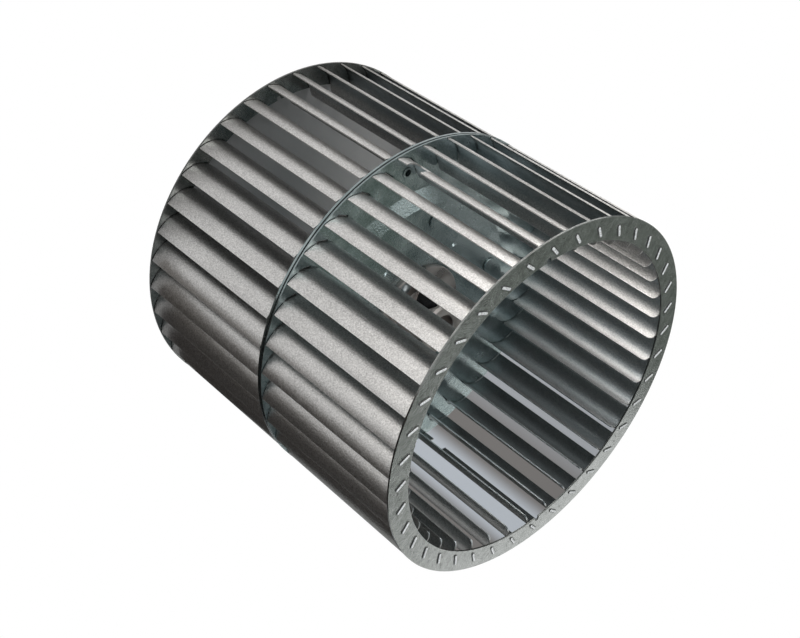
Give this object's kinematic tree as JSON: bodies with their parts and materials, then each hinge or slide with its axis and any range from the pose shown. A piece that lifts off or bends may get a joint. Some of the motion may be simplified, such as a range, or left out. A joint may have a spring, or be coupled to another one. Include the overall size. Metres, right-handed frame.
{
  "type": "blower wheel",
  "caption": "Double-inlet forward-curved blower wheel: two rows of staked sheet blades between end rings and back-to-back centre discs, with a flanged hub and set screw.",
  "frame": {"origin": "on the wheel's axis, at the height of the staked tabs that it stands on", "axes": "+Z along the wheel's axis, towards the end from which the set screw and hub are seen"},
  "size_m": [0.24, 0.24, 0.233],
  "materials": {
    "galvanised_ring": "galvanised, faint spangle, satin",
    "galvanised_disc": "galvanised, smooth, fairly bright",
    "galvanised_blade": "galvanised, fine grain, satin",
    "turned_steel": "turned, lightly oiled",
    "plated_rivet": "zinc plated",
    "black_oxide": "black oxide"
  },
  "bodies": {
    "root": {"end_ring_lower": "galvanised_ring", "end_ring_upper": "galvanised_ring", "centre_disc_lower": "galvanised_disc", "centre_disc_upper": "galvanised_disc", "hub": "turned_steel", "hub_rivets": "plated_rivet", "set_screw": "black_oxide", "blade_pair_lower_01": "galvanised_blade", "blade_pair_lower_02": "galvanised_blade", "blade_pair_lower_03": "galvanised_blade", "blade_pair_lower_04": "galvanised_blade", "blade_pair_lower_05": "galvanised_blade", "blade_pair_lower_06": "galvanised_blade", "blade_pair_lower_07": "galvanised_blade", "blade_pair_lower_08": "galvanised_blade", "blade_pair_lower_09": "galvanised_blade", "blade_pair_lower_10": "galvanised_blade", "blade_pair_lower_11": "galvanised_blade", "blade_pair_lower_12": "galvanised_blade", "blade_pair_lower_13": "galvanised_blade", "blade_pair_lower_14": "galvanised_blade", "blade_pair_lower_15": "galvanised_blade", "blade_pair_lower_16": "galvanised_blade", "blade_pair_lower_17": "galvanised_blade", "blade_pair_lower_18": "galvanised_blade", "blade_pair_lower_19": "galvanised_blade", "blade_pair_upper_01": "galvanised_blade", "blade_pair_upper_02": "galvanised_blade", "blade_pair_upper_03": "galvanised_blade", "blade_pair_upper_04": "galvanised_blade", "blade_pair_upper_05": "galvanised_blade", "blade_pair_upper_06": "galvanised_blade", "blade_pair_upper_07": "galvanised_blade", "blade_pair_upper_08": "galvanised_blade", "blade_pair_upper_09": "galvanised_blade", "blade_pair_upper_10": "galvanised_blade", "blade_pair_upper_11": "galvanised_blade", "blade_pair_upper_12": "galvanised_blade", "blade_pair_upper_13": "galvanised_blade", "blade_pair_upper_14": "galvanised_blade", "blade_pair_upper_15": "galvanised_blade", "blade_pair_upper_16": "galvanised_blade", "blade_pair_upper_17": "galvanised_blade", "blade_pair_upper_18": "galvanised_blade", "blade_pair_upper_19": "galvanised_blade"}
  },
  "joints": []
}
